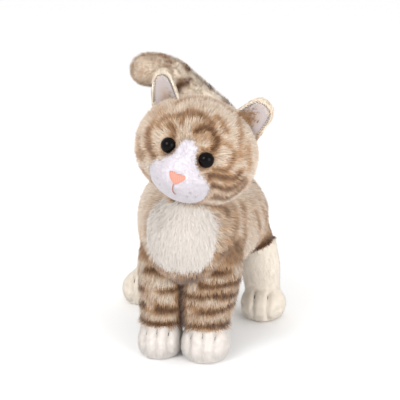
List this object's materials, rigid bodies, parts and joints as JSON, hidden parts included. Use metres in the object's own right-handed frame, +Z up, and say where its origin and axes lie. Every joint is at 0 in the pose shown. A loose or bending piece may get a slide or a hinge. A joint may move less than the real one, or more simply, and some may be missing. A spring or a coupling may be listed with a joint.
{
  "type": "plush cat",
  "caption": "Standing plush tabby kitten built from pile-fabric panels over stuffing, with a head, ears, legs and curled tail that flex at their seams.",
  "frame": {"origin": "middle of the bounding box at floor level, under the belly", "axes": "+Z up, the kitten faces -Y, its left side is +X"},
  "size_m": [0.1566, 0.236, 0.2429],
  "materials": {
    "tabby_fur": "long pile, tan with brown stripes",
    "tail_fur": "medium pile, cream with brown bands",
    "bib_fur": "long straight white pile",
    "cream_plush": "short cream pile",
    "ivory_plush": "short ivory pile",
    "paw_plush": "short white pile",
    "muzzle_plush": "very short white pile",
    "ear_satin": "smooth satin with a brushed brown centre",
    "fibre_stuffing": "loose polyester fibre",
    "eye_plastic": "polished black",
    "washer_plastic": "moulded natural",
    "nose_satin_stitch": "satin-stitched embroidery thread",
    "mouth_thread": "twisted thread",
    "toe_thread": "twisted thread"
  },
  "bodies": {
    "torso": {"chest_bib": "bib_fur", "belly_gusset": "tabby_fur", "torso_left_panel": "tabby_fur", "torso_right_panel": "tabby_fur", "torso_stuffing": "fibre_stuffing"},
    "neck": {"neck_stuffing": "fibre_stuffing"},
    "head": {"muzzle_patch": "muzzle_plush", "forehead_gusset": "tabby_fur", "chin_panel": "tabby_fur", "head_left_panel": "tabby_fur", "head_right_panel": "tabby_fur", "head_stuffing": "fibre_stuffing", "left_eye": "eye_plastic", "left_eye_washer": "washer_plastic", "right_eye": "eye_plastic", "right_eye_washer": "washer_plastic", "nose": "nose_satin_stitch", "mouth_stitch": "mouth_thread"},
    "left_ear": {"left_ear_back": "cream_plush", "left_ear_lining": "ear_satin"},
    "right_ear": {"right_ear_back": "cream_plush", "right_ear_lining": "ear_satin"},
    "front_left_leg": {"front_left_leg_outer_panel": "tabby_fur", "front_left_leg_inner_panel": "tabby_fur", "front_left_paw": "paw_plush", "front_left_paw_sole": "paw_plush", "front_left_leg_stuffing": "fibre_stuffing", "front_left_toe_stitches": "toe_thread"},
    "front_right_leg": {"front_right_leg_outer_panel": "tabby_fur", "front_right_leg_inner_panel": "tabby_fur", "front_right_paw": "paw_plush", "front_right_paw_sole": "paw_plush", "front_right_leg_stuffing": "fibre_stuffing", "front_right_toe_stitches": "toe_thread"},
    "hind_left_leg": {"hind_left_leg_outer_panel": "ivory_plush", "hind_left_leg_inner_panel": "ivory_plush", "hind_left_paw_sole": "ivory_plush", "hind_left_leg_stuffing": "fibre_stuffing", "hind_left_toe_stitches": "toe_thread"},
    "hind_right_leg": {"hind_right_leg_outer_panel": "ivory_plush", "hind_right_leg_inner_panel": "ivory_plush", "hind_right_paw_sole": "ivory_plush", "hind_right_leg_stuffing": "fibre_stuffing", "hind_right_toe_stitches": "toe_thread"},
    "tail_root": {"tail_root_sleeve": "tail_fur", "tail_root_stuffing": "fibre_stuffing"},
    "tail_middle": {"tail_middle_sleeve": "tail_fur", "tail_middle_stuffing": "fibre_stuffing"},
    "tail_tip": {"tail_tip_sleeve": "tail_fur", "tail_tip_stuffing": "fibre_stuffing"}
  },
  "joints": [
    {"name": "head_turn", "type": "hinge", "parent": "torso", "child": "neck", "pos_m": [0.01516, -0.06052, 0.1525], "axis": [0, 0, 1], "range_deg": [-25, 25], "stiffness_Nm_per_rad": 0.8},
    {"name": "head_nod", "type": "hinge", "parent": "neck", "child": "head", "pos_m": [0.01516, -0.06052, 0.1525], "axis": [1, 0, 0], "range_deg": [-12, 12], "stiffness_Nm_per_rad": 0.8},
    {"name": "left_ear_fold", "type": "hinge", "parent": "head", "child": "left_ear", "pos_m": [0.05366, -0.06052, 0.196], "axis": [0.7154, 0.1521, -0.682], "range_deg": [-20, 20], "stiffness_Nm_per_rad": 0.02},
    {"name": "right_ear_fold", "type": "hinge", "parent": "head", "child": "right_ear", "pos_m": [-0.00584, -0.06052, 0.2035], "axis": [0.8529, -0.4924, 0.1737], "range_deg": [-20, 20], "stiffness_Nm_per_rad": 0.02},
    {"name": "front_left_leg_swing", "type": "hinge", "parent": "torso", "child": "front_left_leg", "pos_m": [0.02916, -0.04752, 0.0905], "axis": [1, 0, 0], "range_deg": [-15, 15], "stiffness_Nm_per_rad": 1},
    {"name": "front_right_leg_swing", "type": "hinge", "parent": "torso", "child": "front_right_leg", "pos_m": [-0.01384, -0.04652, 0.0905], "axis": [1, 0, 0], "range_deg": [-15, 15], "stiffness_Nm_per_rad": 1},
    {"name": "hind_left_leg_swing", "type": "hinge", "parent": "torso", "child": "hind_left_leg", "pos_m": [0.04716, 0.05748, 0.0825], "axis": [1, 0, 0], "range_deg": [-15, 15], "stiffness_Nm_per_rad": 1},
    {"name": "hind_right_leg_swing", "type": "hinge", "parent": "torso", "child": "hind_right_leg", "pos_m": [-0.03184, 0.06948, 0.0825], "axis": [1, 0, 0], "range_deg": [-15, 15], "stiffness_Nm_per_rad": 1},
    {"name": "tail_wag", "type": "hinge", "parent": "torso", "child": "tail_root", "pos_m": [0.00616, 0.08748, 0.1145], "axis": [0, 0, 1], "range_deg": [-20, 20], "stiffness_Nm_per_rad": 0.2},
    {"name": "tail_curl", "type": "hinge", "parent": "tail_root", "child": "tail_middle", "pos_m": [0.01266, 0.10148, 0.1725], "axis": [0, 1, 0], "range_deg": [-20, 20], "stiffness_Nm_per_rad": 0.1},
    {"name": "tail_tip_curl", "type": "hinge", "parent": "tail_middle", "child": "tail_tip", "pos_m": [-0.01884, 0.08948, 0.2035], "axis": [0, 1, 0], "range_deg": [-20, 20], "stiffness_Nm_per_rad": 0.05}
  ],
  "couplings": [
    {"joint": "tail_tip_curl", "follows": "tail_curl", "ratio": 1}
  ]
}
